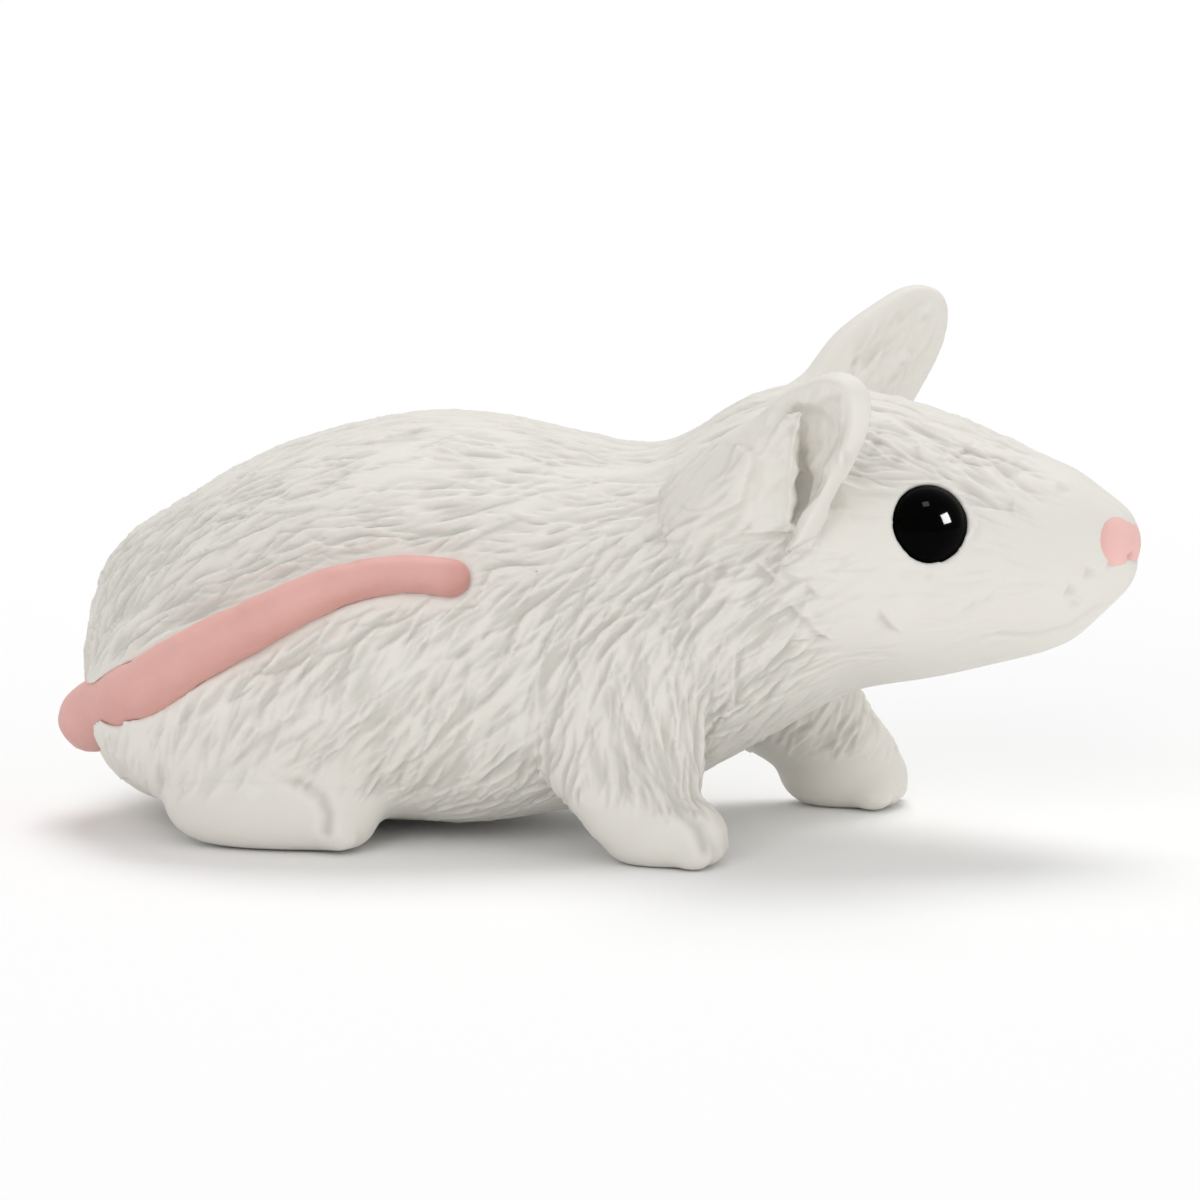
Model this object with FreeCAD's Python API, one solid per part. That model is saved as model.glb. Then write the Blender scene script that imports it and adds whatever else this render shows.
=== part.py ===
# Solid vinyl figurine of a white mouse, crouching on four feet with its tail laid along the right flank.
# Every coloured or undercut region is its own moulding, glued into a pocket: torso, head, ears, eyes,
# nose, forelegs, hind feet and tail.
# Frame: +X runs to the nose, +Y to the mouse's left, +Z up. The origin lies on the standing surface,
# under the middle of the figure's bounding box. Millimetres.

import FreeCAD
import Part

import math
import os

Vector = FreeCAD.Vector

# --- Driving dimensions, mm ---

torso_length = 31.2  # rump to the neck joint
back_height = 20.1  # top of the back above the standing surface
hip_width = 21.4  # widest place of the torso
head_length = 20.2  # neck joint to the end of the muzzle
head_width = 16.8  # at the neck joint
neck_tilt = 14.0  # degrees, the neck joint leans back at the top

haunch_length = 19.2
haunch_width = 10.4  # across one thigh
haunch_height = 12.6

eye_diameter = 4.2
eye_proud = 0.85  # how far the eyeball stands out of the head
eye_stem_diameter = 1.4
eye_stem_length = 3.6  # from the eyeball's middle
nose_length = 3.4
nose_width = 3.5
nose_height = 3.4
nose_stem_diameter = 1.2
nose_stem_length = 3.4  # from the nose's middle

ear_length = 9.2  # root to tip, outside the head
ear_width = 6.0
ear_thickness = 1.05
ear_cup_radius = 4.6  # how tightly the ear is rolled about its length
ear_root_depth = 2.0  # how far the ear's root goes into the head

right_foreleg_breadth = 9.6  # along the body, through the elbow
left_foreleg_breadth = 11.6  # the left leg is stretched forward
foreleg_thickness = 5.4  # across the body, through the elbow
forepaw_length = 6.4
forepaw_width = 4.5
forepaw_height = 3.5
forepaw_spacing = 17.2  # between the middles of the forepaws
right_forepaw_lead = -1.1  # middle of the paw, ahead of the neck joint
left_forepaw_lead = 4.2  # the left paw is a step ahead
right_wrist_setback = 1.25  # middle of the wrist behind the middle of the paw
left_wrist_setback = -0.1

hind_foot_length = 11.0
hind_foot_width = 4.7
hind_foot_height = 3.8
hind_foot_spacing = 16.8
hind_foot_setback = 10.9  # middle of the foot, ahead of the rump
toe_length = 2.3
toe_width = 1.25
toe_height = 1.75

tail_root_diameter = 2.95
tail_tip_diameter = 1.75
tail_sink = 0.4  # how deep the tail lies in its groove
tail_socket_depth = 4.0

glue_gap = 0.05  # all round every piece that sits in a pocket
neck_spigot_diameter = 6.0
neck_spigot_length = 4.0

# --- Places that follow from them ---

rump_x = -25.2
neck_x = rump_x + torso_length
muzzle_x = neck_x + head_length
half_hips = hip_width / 2
half_head = head_width / 2
shoulder_height = 0.61 * back_height  # top of the arm's plug, inside the torso
right_shoulder_x = neck_x - 4.4
left_shoulder_x = neck_x - 1.4
ring_points = 16
widest_at = 0.42  # height of a section's widest place, as a share of the section
belly_power = 0.80  # under 1 makes the belly flatter and its sides fuller

# Outline of the trunk. Torso: share of torso_length from the rump, top and bottom as shares of
# back_height, half width as a share of half the hips.
torso_outline = [
    (0.020, 0.555, 0.190, 0.30),
    (0.050, 0.645, 0.110, 0.46),
    (0.103, 0.716, 0.060, 0.64),
    (0.183, 0.796, 0.036, 0.82),
    (0.280, 0.882, 0.026, 0.93),
    (0.407, 0.952, 0.022, 1.00),
    (0.567, 0.993, 0.024, 0.97),
    (0.712, 0.972, 0.044, 0.90),
    (0.840, 0.935, 0.085, 0.84),
    (0.915, 0.943, 0.115, 0.80),
]

# Head: share of head_length from the neck, top and bottom as shares of back_height, half width as
# a share of half the neck.
head_outline = [
    (0.000, 1.020, 0.175, 1.00),
    (0.150, 1.085, 0.266, 0.98),
    (0.300, 1.085, 0.352, 0.94),
    (0.450, 1.055, 0.392, 0.86),
    (0.585, 1.015, 0.420, 0.73),
    (0.700, 0.970, 0.450, 0.60),
    (0.800, 0.930, 0.480, 0.485),
    (0.900, 0.885, 0.538, 0.335),
    (0.960, 0.850, 0.590, 0.215),
]

rump_tip_height = 0.420  # shares of back_height
muzzle_tip_height = 0.725


def trunk_stations():
    torso = [
        (rump_x + at * torso_length, top * back_height, low * back_height, half * half_hips)
        for at, top, low, half in torso_outline
    ]
    head = [
        (neck_x + at * head_length, top * back_height, low * back_height, half * half_head)
        for at, top, low, half in head_outline
    ]
    return torso + head


stations = trunk_stations()


def girth(x):
    """Top, bottom and half width of the trunk at x, read between its stations."""
    for near, far in zip(stations, stations[1:]):
        if x <= far[0]:
            share = max(0.0, (x - near[0]) / (far[0] - near[0]))
            return [near[k] + share * (far[k] - near[k]) for k in (1, 2, 3)]
    return list(stations[-1][1:])


def skin_y(x, z):
    """Distance of the trunk's surface from the middle plane, at x and height z."""
    top, bottom, half = girth(x)
    middle = bottom + widest_at * (top - bottom)
    reach = top - middle if z > middle else middle - bottom
    share = min(1.0, abs(z - middle) / reach)
    return half * math.sqrt(1.0 - share * share)


def ring(x, top, bottom, half):
    middle = bottom + widest_at * (top - bottom)
    squareness = belly_power if x < neck_x else 1.0
    points = []
    for k in range(ring_points):
        angle = 2 * math.pi * k / ring_points
        across, up = math.cos(angle), math.sin(angle)
        reach = top - middle
        if up < 0:
            across = math.copysign(abs(across) ** squareness, across)
            up = -(abs(up) ** squareness)
            reach = middle - bottom
        points.append(Vector(x, half * across, middle + reach * up))
    curve = Part.BSplineCurve()
    curve.interpolate(points, PeriodicFlag=True)
    return Part.Wire(curve.toShape())


def ellipsoid(centre, radii):
    ball = Part.makeSphere(1.0)
    stretch = FreeCAD.Matrix()
    stretch.scale(radii[0], radii[1], radii[2])
    shape = ball.transformGeometry(stretch)
    shape.translate(Vector(*centre))
    return shape


def above_ground(shape):
    reach = 200.0
    room = Part.makeBox(reach, reach, reach, Vector(-reach / 2, -reach / 2, 0))
    return shape.common(room)


def one_solid(shape):
    return max(shape.Solids, key=lambda solid: solid.Volume)


def join(pieces):
    return one_solid(pieces[0].fuse(pieces[1:]))


def carve(host, tools):
    return one_solid(host.cut(tools))


# --- Trunk, split at the neck ---


def trunk():
    tips = [
        Part.Vertex(Vector(rump_x, 0, rump_tip_height * back_height)),
        Part.Vertex(Vector(muzzle_x, 0, muzzle_tip_height * back_height)),
    ]
    rings = [ring(*station) for station in stations]
    return Part.makeLoft([tips[0]] + rings + [tips[1]], True, False)


haunch_share = 0.345  # middle of the thigh, along the torso
haunch_clearance = 0.33  # lowest point of the thigh above the standing surface
haunch_proud = 0.1  # how far it stands out past the hips


def haunch(side):
    # the thigh bulges out low on the torso, and its fur hangs over the foot
    x = rump_x + haunch_share * torso_length
    y = side * (half_hips - haunch_width / 2 + haunch_proud)
    z = haunch_clearance + haunch_height / 2
    return ellipsoid((x, y, z), (haunch_length / 2, haunch_width / 2, haunch_height / 2))


def neck_frame(shape):
    """Turns a shape made about the X axis so that it stands square on the neck joint."""
    top, bottom = girth(neck_x)[:2]
    shape.rotate(Vector(0, 0, 0), Vector(0, 1, 0), -neck_tilt)
    shape.translate(Vector(neck_x, 0, (top + bottom) / 2))
    return shape


def head_room():
    reach = 100.0
    return neck_frame(Part.makeBox(reach, reach, reach, Vector(0, -reach / 2, -reach / 2)))


def neck_spigot(gap):
    radius = neck_spigot_diameter / 2 + gap
    depth = neck_spigot_length + gap
    bury = neck_spigot_diameter / 2  # so that the spigot fuses with the head
    return neck_frame(Part.makeCylinder(radius, depth + bury, Vector(-depth, 0, 0), Vector(1, 0, 0)))


# --- Eyes and nose ---

eye_share = 0.554  # along the head
eye_height = 0.811  # share of back_height
eye_gaze = Vector(0.30, 1.0, 0.22)  # outward from the left eye


def eye(side, gap):
    x = neck_x + eye_share * head_length
    z = eye_height * back_height
    radius = eye_diameter / 2
    outward = Vector(eye_gaze.x, side * eye_gaze.y, eye_gaze.z).normalize()
    surface = Vector(x, side * skin_y(x, z), z)
    middle = surface - outward * (radius - eye_proud)
    ball = Part.makeSphere(radius + gap, middle, outward)
    stem = Part.makeCylinder(eye_stem_diameter / 2 + gap, eye_stem_length + gap, middle, outward * -1)
    return join([ball, stem])


nose_sink = 0.447  # middle of the nose behind the muzzle's end, as a share of nose_length
nose_middle = 0.737  # its height, as a share of back_height
nose_stem_way = Vector(-1, 0, -0.1)


def nose(gap):
    x = muzzle_x - nose_sink * nose_length
    z = nose_middle * back_height
    radii = (nose_length / 2 + gap, nose_width / 2 + gap, nose_height / 2 + gap)
    ball = ellipsoid((x, 0, z), radii)
    stem_radius = nose_stem_diameter / 2 + gap
    stem = Part.makeCylinder(stem_radius, nose_stem_length + gap, Vector(x, 0, z), nose_stem_way)
    return join([ball, stem])


# --- Ears: leaves rolled about their length, hollow side outwards and back ---

right_ear_share = 0.230  # root's middle along the head
left_ear_share = 0.208
ear_root_height = 0.912  # share of back_height
ear_hollow = Vector(-0.69, -0.69, -0.22)  # the way the right ear's hollow side faces
right_ear_lean = Vector(0.500, -0.645, 0.578)  # root to tip
left_ear_lean = Vector(0.452, -0.626, 0.668)  # the same for the left ear, as if it were on the right

# outline of the leaf: along it as a share of its length, across it as a share of its width
ear_outline = [
    (0.0, -0.58),
    (0.20, -0.46),
    (0.45, -0.35),
    (0.72, -0.27),
    (0.92, -0.13),
    (1.0, 0.04),
    (0.96, 0.21),
    (0.78, 0.36),
    (0.50, 0.46),
    (0.25, 0.46),
    (0.0, 0.42),
]
ear_root_edges = [0.34, -0.44]  # shares of the width, inside the head


def axis_and_degrees(rotation):
    return rotation.Axis, math.degrees(rotation.Angle)


def ear(side, gap):
    width = ear_width + 2 * gap
    length = ear_length + gap
    root = ear_root_depth + gap
    points = [Vector(at * length, across * width, 0) for at, across in ear_outline]
    points += [Vector(-root, across * width, 0) for across in ear_root_edges]
    edge = Part.BSplineCurve()
    edge.interpolate(points, PeriodicFlag=True)
    face = Part.Face(Part.Wire(edge.toShape()))
    depth = 2 * ear_cup_radius
    face.translate(Vector(0, 0, -depth / 2))
    leaf = face.extrude(Vector(0, 0, depth))
    inner = ear_cup_radius - ear_thickness / 2 - gap
    outer = ear_cup_radius + ear_thickness / 2 + gap
    axis_start = Vector(-ear_length, 0, ear_cup_radius)
    tube = Part.makeCylinder(outer, 3 * ear_length, axis_start, Vector(1, 0, 0))
    bore = Part.makeCylinder(inner, 3 * ear_length, axis_start, Vector(1, 0, 0))
    shape = one_solid(leaf.common(tube.cut(bore)))
    # local X runs to the tip, local Y up along the root, local Z out of the hollow
    along = Vector(left_ear_lean if side > 0 else right_ear_lean).normalize()
    across = ear_hollow.cross(along).normalize()
    hollow = along.cross(across)
    shape.rotate(Vector(0, 0, 0), *axis_and_degrees(FreeCAD.Rotation(along, across, hollow, "XYZ")))
    x = neck_x + (left_ear_share if side > 0 else right_ear_share) * head_length
    z = ear_root_height * back_height
    shape.translate(Vector(x, -skin_y(x, z), z))
    if side > 0:
        shape = shape.mirror(Vector(0, 0, 0), Vector(0, 1, 0))
    return shape


# --- Legs and feet ---


toe_pitch = 0.92  # shares of toe_width
toe_stagger = 0.20  # the middle toes stand this much further forward
toe_middle = 0.46  # height of a toe's middle, as a share of the toe


def toes(x, y, gap):
    pieces = []
    for from_middle in (-1.5, -0.5, 0.5, 1.5):
        across = from_middle * toe_width * toe_pitch
        lead = toe_stagger * toe_width * (1.5 - abs(from_middle))
        radii = (toe_length / 2 + gap, toe_width / 2 + gap, toe_height / 2 + gap)
        pieces.append(ellipsoid((x + lead, y + across, toe_middle * toe_height), radii))
    return pieces


# One arm: share of the shoulder's height, how far towards the paw, breadth, thickness.
arm_outline = [
    (1.00, 0.00, 0.70, 0.55),
    (0.80, 0.02, 0.92, 0.92),
    (0.60, 0.10, 1.00, 1.00),
    (0.44, 0.28, 0.93, 0.94),
    (0.32, 0.56, 0.82, 0.88),
    (0.20, 0.86, 0.62, 0.80),
    (0.10, 1.00, 0.48, 0.68),
]


arm_inset = 0.40  # middle of the arm inside the torso's side, as a share of its thickness
sole_middle = 0.44  # height of a foot's middle, as a share of the foot
sole_reach = 0.56  # how far it rises above that
fore_toe_lead = 0.28  # middle of the toes ahead of the foot's middle, as a share of its length
hind_toe_lead = 0.34


def foreleg(side, leg_breadth, paw_x, wrist_setback, shoulder_x, gap):
    paw_y = side * forepaw_spacing / 2
    half = girth(shoulder_x)[2]
    shoulder_y = side * (half - arm_inset * foreleg_thickness)
    rings = []
    for height, share, breadth, thickness in arm_outline:
        lift = 0.0 if rings else gap
        centre = Vector(
            shoulder_x + share * (paw_x - wrist_setback - shoulder_x),
            shoulder_y + share * (paw_y - shoulder_y),
            height * shoulder_height + lift,
        )
        long_radius = breadth * leg_breadth / 2 + gap
        short_radius = thickness * foreleg_thickness / 2 + gap
        loop = Part.Ellipse(centre, long_radius, short_radius)
        rings.append(Part.Wire(loop.toShape()))
    arm = Part.makeLoft(rings, True, False)
    palm_radii = (forepaw_length / 2 + gap, forepaw_width / 2 + gap, sole_reach * forepaw_height + gap)
    palm = ellipsoid((paw_x, paw_y, sole_middle * forepaw_height), palm_radii)
    digits = toes(paw_x + fore_toe_lead * forepaw_length, paw_y, gap)
    return one_solid(above_ground(join([arm, palm] + digits)))


def hind_foot(side, gap):
    x = rump_x + hind_foot_setback
    y = side * hind_foot_spacing / 2
    radii = (hind_foot_length / 2 + gap, hind_foot_width / 2 + gap, sole_reach * hind_foot_height + gap)
    sole = ellipsoid((x, y, sole_middle * hind_foot_height), radii)
    digits = toes(x + hind_toe_lead * hind_foot_length, y, gap)
    return one_solid(above_ground(join([sole] + digits)))


# --- Tail: a tapered rod, out of the rump, round to the right and forward along the flank ---

# out of the rump: ahead of the rump's end, to the left, height as a share of back_height
tail_bend = [
    (1.6 + tail_socket_depth, 0.6, 0.330),
    (2.60, 0.2, 0.262),
    (0.70, -1.5, 0.232),
    (1.00, -4.0, 0.262),
    (2.60, -6.3, 0.318),
]

# along the flank: share of torso_length, height as a share of back_height. The torso's own surface
# says how far out the tail lies.
tail_route = [
    (0.165, 0.392),
    (0.240, 0.474),
    (0.325, 0.548),
    (0.410, 0.618),
    (0.490, 0.665),
    (0.560, 0.685),
    (0.610, 0.684),
    (0.640, 0.678),
]
taper_end = 0.67  # the rod is thin from this share of the flank on
taper_power = 1.2


tail_tip_angles = (25, 50, 75)  # degrees round the tip, one ring each


def rod_ring(centre, way, radius):
    level = way.cross(Vector(0, 0, 1)).normalize()
    raised = level.cross(way)
    points = []
    for k in range(ring_points):
        angle = 2 * math.pi * k / ring_points
        points.append(centre + level * (radius * math.cos(angle)) + raised * (radius * math.sin(angle)))
    loop = Part.BSplineCurve()
    loop.interpolate(points, PeriodicFlag=True)
    return Part.Wire(loop.toShape())


def tail(gap):
    root_radius = tail_root_diameter / 2
    thinning = tail_tip_diameter / 2 - root_radius
    points = []
    radii = []
    for ahead, left, height in tail_bend:
        points.append(Vector(rump_x + ahead, left, height * back_height))
        radii.append(root_radius)
    for k, (at, height) in enumerate(tail_route):
        x = rump_x + at * torso_length
        z = height * back_height
        share = min(1.0, (k + 1) / len(tail_route) / taper_end)
        radius = root_radius + thinning * share**taper_power
        points.append(Vector(x, -(skin_y(x, z) + radius - tail_sink), z))
        radii.append(radius)
    line = Part.BSplineCurve()
    line.interpolate(points)
    rings = []
    for point, radius in zip(points, radii):
        way = Vector(*line.tangent(line.parameter(point))[0])
        if not rings:
            point = point - way * gap
        rings.append(rod_ring(point, way, radius + gap))
    # blunt rounded tip
    for angle in tail_tip_angles:
        reach = (radii[-1] + gap) * math.sin(math.radians(angle))
        rings.append(rod_ring(point + way * reach, way, (radii[-1] + gap) * math.cos(math.radians(angle))))
    return one_solid(Part.makeLoft(rings, True, False))


# --- Assembly ---


def build():
    body = join([trunk(), haunch(-1), haunch(1)])
    room = head_room()
    torso = one_solid(body.cut(room))
    head = join([one_solid(body.common(room)), neck_spigot(0.0)])

    right_leg = (right_foreleg_breadth, neck_x + right_forepaw_lead, right_wrist_setback, right_shoulder_x)
    left_leg = (left_foreleg_breadth, neck_x + left_forepaw_lead, left_wrist_setback, left_shoulder_x)
    loose = {
        "right_ear": lambda gap: ear(-1, gap),
        "left_ear": lambda gap: ear(1, gap),
        "right_eye": lambda gap: eye(-1, gap),
        "left_eye": lambda gap: eye(1, gap),
        "nose": nose,
        "right_foreleg": lambda gap: foreleg(-1, *right_leg, gap),
        "left_foreleg": lambda gap: foreleg(1, *left_leg, gap),
        "right_hind_foot": lambda gap: hind_foot(-1, gap),
        "left_hind_foot": lambda gap: hind_foot(1, gap),
        "tail": tail,
    }
    pockets = {name: make(glue_gap) for name, make in loose.items()}
    in_head = ("right_ear", "left_ear", "right_eye", "left_eye", "nose", "right_foreleg", "left_foreleg")
    in_torso = ("right_foreleg", "left_foreleg", "right_hind_foot", "left_hind_foot", "tail")
    for name in in_head:
        head = carve(head, [pockets[name]])
    torso = carve(torso, [neck_spigot(glue_gap)])
    for name in in_torso:
        torso = carve(torso, [pockets[name]])
    parts = {"torso": torso, "head": head}
    for name, make in loose.items():
        parts[name] = make(0.0)
    return parts


parts = build()
box = FreeCAD.BoundBox()
for shape in parts.values():
    box.add(shape.optimalBoundingBox(True, False))
shift = Vector(-(box.XMin + box.XMax) / 2, -(box.YMin + box.YMax) / 2, -box.ZMin)

os.makedirs("parts", exist_ok=True)
for name, shape in parts.items():
    shape.translate(shift)
    shape.exportStep("parts/" + name + ".step")
    print(name, "valid", shape.isValid(), "solids", len(shape.Solids), "mm3", round(shape.Volume, 2))
print("size", round(box.XLength, 2), round(box.YLength, 2), round(box.ZLength, 2))
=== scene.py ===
import math

import bmesh
import bpy
import numpy as np
from mathutils import Matrix, Vector, noise
from mathutils.bvhtree import BVHTree
from mathutils.kdtree import KDTree


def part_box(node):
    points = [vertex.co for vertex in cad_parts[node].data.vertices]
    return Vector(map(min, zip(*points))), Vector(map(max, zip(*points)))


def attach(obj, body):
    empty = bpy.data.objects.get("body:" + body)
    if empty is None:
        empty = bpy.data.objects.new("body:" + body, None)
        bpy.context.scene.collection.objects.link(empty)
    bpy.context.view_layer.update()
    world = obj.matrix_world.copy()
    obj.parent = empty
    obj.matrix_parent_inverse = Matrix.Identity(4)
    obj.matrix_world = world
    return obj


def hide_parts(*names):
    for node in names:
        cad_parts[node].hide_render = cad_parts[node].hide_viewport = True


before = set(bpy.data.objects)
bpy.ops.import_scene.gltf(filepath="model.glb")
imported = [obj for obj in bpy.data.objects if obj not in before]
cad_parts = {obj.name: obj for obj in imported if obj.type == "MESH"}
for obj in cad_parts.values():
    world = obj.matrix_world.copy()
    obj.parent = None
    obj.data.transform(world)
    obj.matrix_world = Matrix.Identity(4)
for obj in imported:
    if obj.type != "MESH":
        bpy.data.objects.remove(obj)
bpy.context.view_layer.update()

mm = 0.001


# small helpers

def newObject(name, mesh):
    piece = bpy.data.objects.new(name, mesh)
    bpy.context.scene.collection.objects.link(piece)
    return piece


def baked(piece):
    # the piece's mesh with its modifiers applied, the modifiers gone
    graph = bpy.context.evaluated_depsgraph_get()
    mesh = bpy.data.meshes.new_from_object(piece.evaluated_get(graph))
    piece.modifiers.clear()
    piece.data = mesh
    return piece


def remeshed(piece, voxel):
    grid = piece.modifiers.new("skin", "REMESH")
    grid.mode = "VOXEL"
    grid.voxel_size = voxel * mm
    return baked(piece)


def thinned(piece, mostTriangles):
    triangles = sum(len(face.vertices) - 2 for face in piece.data.polygons)
    if triangles > mostTriangles:
        thin = piece.modifiers.new("thin", "DECIMATE")
        thin.ratio = mostTriangles / triangles
        baked(piece)
    return piece


def pointsOf(mesh):
    flat = np.empty(len(mesh.vertices) * 3)
    mesh.vertices.foreach_get("co", flat)
    return flat.reshape(-1, 3) / mm


def movePoints(mesh, points):
    mesh.vertices.foreach_set("co", (points * mm).ravel())
    mesh.update()


def normalsOf(mesh):
    flat = np.empty(len(mesh.vertices) * 3)
    mesh.vertex_normals.foreach_get("vector", flat)
    return flat.reshape(-1, 3)


def edgesOf(mesh):
    flat = np.empty(len(mesh.edges) * 2, dtype=np.int64)
    mesh.edges.foreach_get("vertices", flat)
    return flat.reshape(-1, 2)


def fade(low, high, value):
    # 0 at low, 1 at high, smooth between; low may be the larger of the two
    share = np.clip((value - low) / (high - low), 0, 1)
    return share * share * (3 - 2 * share)


def treeOf(points):
    tree = KDTree(len(points))
    for k, point in enumerate(points):
        tree.insert(point, k)
    tree.balance()
    return tree


halfWay = 0.5


def relax(points, edges, rounds, weight=halfWay):
    # every point moves towards the middle of its neighbours
    count = len(points)
    ends = np.concatenate([edges[:, 0], edges[:, 1]])
    others = np.concatenate([edges[:, 1], edges[:, 0]])
    valence = np.maximum(np.bincount(ends, minlength=count), 1)
    share = np.broadcast_to(np.asarray(weight, float), (count,))
    for _ in range(rounds):
        for axis in range(3):
            middle = np.bincount(ends, weights=points[others, axis], minlength=count) / valence
            points[:, axis] += share * (middle - points[:, axis])
    return points


def relaxNear(points, edges, zone, rounds):
    # the same, as strongly as the zone says, from 0 outside it to 1
    inside = zone[edges].any(1)
    used, small = np.unique(edges[inside], return_inverse=True)
    points[used] = relax(points[used], small.reshape(-1, 2), rounds, halfWay * zone[used])
    return points


def gapTo(points, name, reach):
    # distance from each point to a CAD node's surface, up to reach
    low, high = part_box(name)
    low, high = np.array(low) / mm - reach, np.array(high) / mm + reach
    gap = np.full(len(points), float(reach))
    surface = BVHTree.FromObject(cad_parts[name], bpy.context.evaluated_depsgraph_get())
    for k in np.nonzero(((points > low) & (points < high)).all(1))[0]:
        distance = surface.find_nearest(Vector(points[k] * mm), reach * mm)[3]
        if distance is not None:
            gap[k] = distance / mm
    return gap


def unevenness(points, size, amount):
    # slow random bumps, size across and up to amount high
    smoothness, finerBy, layers = 1.0, 2.0, 3
    heights = [noise.fractal(Vector(point / size), smoothness, finerBy, layers) for point in points]
    return amount * np.array(heights)


def copyOfNode(name, swell=0.0):
    # closed copy of a CAD node, swollen by so many millimetres
    shape = bmesh.new()
    shape.from_mesh(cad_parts[name].data)
    bmesh.ops.remove_doubles(shape, verts=shape.verts, dist=0.002 * mm)
    mesh = bpy.data.meshes.new(name + "Copy")
    shape.to_mesh(mesh)
    shape.free()
    if swell:
        movePoints(mesh, pointsOf(mesh) + normalsOf(mesh) * swell)
    return newObject(name + "Copy", mesh)


def joined(pieces, name):
    whole = bmesh.new()
    for piece in pieces:
        whole.from_mesh(piece.data)
        bpy.data.objects.remove(piece)
    mesh = bpy.data.meshes.new(name)
    whole.to_mesh(mesh)
    whole.free()
    return newObject(name, mesh)


def largestShell(piece):
    # voxels can leave bubbles inside: only the biggest shell stays
    edges = edgesOf(piece.data)
    label = np.arange(len(piece.data.vertices))
    while True:
        low = np.minimum(label[edges[:, 0]], label[edges[:, 1]])
        before = label.copy()
        np.minimum.at(label, edges[:, 0], low)
        np.minimum.at(label, edges[:, 1], low)
        label = label[label]
        if (label == before).all():
            break
    keep = np.bincount(label).argmax()
    if (label == keep).all():
        return piece
    shape = bmesh.new()
    shape.from_mesh(piece.data)
    shape.verts.ensure_lookup_table()
    bubbles = [shape.verts[k] for k in np.nonzero(label != keep)[0]]
    bmesh.ops.delete(shape, geom=bubbles, context="VERTS")
    shape.to_mesh(piece.data)
    shape.free()
    return piece


# the whole white skin, made as one so that its fur runs over the joints

ears = ("right_ear", "left_ear")
limbs = ("right_foreleg", "left_foreleg", "right_hind_foot", "left_hind_foot")
skin = {
    "voxel": 0.11, "swell": 0.05, "softenRounds": 22, "lastRounds": 3, "mostTriangles": 185000,
    # softened only a little where it meets the tail, more away from it
    "tailReach": 0.8, "tailFade": (0.1, 0.7), "tailWeight": 0.08, "awayWeight": 0.42,
    # wedge of skin from the neck up to the ear's rear edge: x, distance from the middle plane, z
    "earWeb": [
        (10.2, 9.3, 22.5), (9.3, 8.0, 21.5), (8.4, 6.7, 20.3), (7.7, 5.4, 19.1),
        (12.1, 11.1, 22.8), (11.8, 10.1, 21.0), (11.5, 9.1, 19.0), (11.1, 8.5, 17.0), (10.7, 7.9, 15.3),
        (5.2, 3.4, 19.4), (3.6, 5.6, 17.6), (4.4, 7.5, 15.2), (8.0, 2.0, 17.0),
    ],
}


def webBehindEar(side):
    shape = bmesh.new()
    for x, across, z in skin["earWeb"]:
        shape.verts.new((x * mm, side * across * mm, z * mm))
    hull = bmesh.ops.convex_hull(shape, input=shape.verts)
    bmesh.ops.delete(shape, geom=hull["geom_interior"], context="VERTS")
    bmesh.ops.recalc_face_normals(shape, faces=shape.faces)
    mesh = bpy.data.meshes.new("earWeb")
    shape.to_mesh(mesh)
    shape.free()
    return newObject("earWeb", mesh)


def makeSkin():
    parts = [copyOfNode(name, skin["swell"]) for name in ("torso", "head", *ears, *limbs)]
    parts += [webBehindEar(-1), webBehindEar(1)]
    whole = remeshed(joined(parts, "whiteSkin"), skin["voxel"])
    return largestShell(whole)


whole = makeSkin()
print("skin", len(whole.data.vertices), "points")


def leafFrame(name):
    # axes of an ear from its own shape: along to the tip, across, out of the hollow
    points = pointsOf(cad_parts[name].data)
    middle = points.mean(0)
    axes = np.linalg.eigh(np.cov((points - middle).T))[1]
    hollow, across, along = axes[:, 0], axes[:, 1], axes[:, 2]
    if along[2] < 0:
        along = -along
    if hollow[0] > 0:
        hollow = -hollow
    if across[2] < 0:
        across = -across
    return {"points": points, "middle": middle, "along": along, "across": across, "hollow": hollow}


def onLeaf(points, leaf):
    rel = points - leaf["middle"]
    return rel @ leaf["along"], rel @ leaf["across"], rel @ leaf["hollow"]


def outlineDistance(spots, edgePoints):
    # how far each spot lies inside the convex outline round edgePoints, all in the leaf's plane
    angle = np.arange(0, 360, 5) * math.pi / 180
    way = np.stack([np.cos(angle), np.sin(angle)], 1)
    reach = (edgePoints @ way.T).max(0)
    return (reach[None, :] - spots @ way.T).min(1)


ear = {
    "rimWidth": 0.95, "rimFull": 0.25, "rimSwell": 0.07,
    "bowlDepth": 0.38, "bowlEdge": 0.75, "bowlBlend": 0.9,
    "backRidge": 0.20, "ridgeAt": 0.35, "ridgeLean": 0.10, "ridgeWidth": 0.32, "ridgeEdge": (0.8, 1.6),
    "wrinkleSize": 0.8, "wrinkle": 0.34, "wrinkleStretch": (0.35, 1, 0.5),
    "hairOutside": 0.55, "hairInside": 0.10, "hairTurn": (0.1, -0.4), "hairEdge": (0.2, 0.8),
    # the part that is sculpted: from above the root, round the outline, through the leaf
    "rootHeight": 2.2, "rootBlend": 1.6, "rootSpare": 0.4, "outlineSpare": 0.6, "halfThickness": 2.4,
    "faces": (0.2, 0.6),
}
mound = {  # where it fades in and out, measured on the ear's own axes
    "acrossIn": (-1.9, -0.8), "acrossOut": (7.0, 5.0), "alongOut": (7.0, 4.5),
    "hollowIn": (0.1, 0.7), "hollowOut": (6.5, 4.5), "rounds": 90,
}


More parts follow.
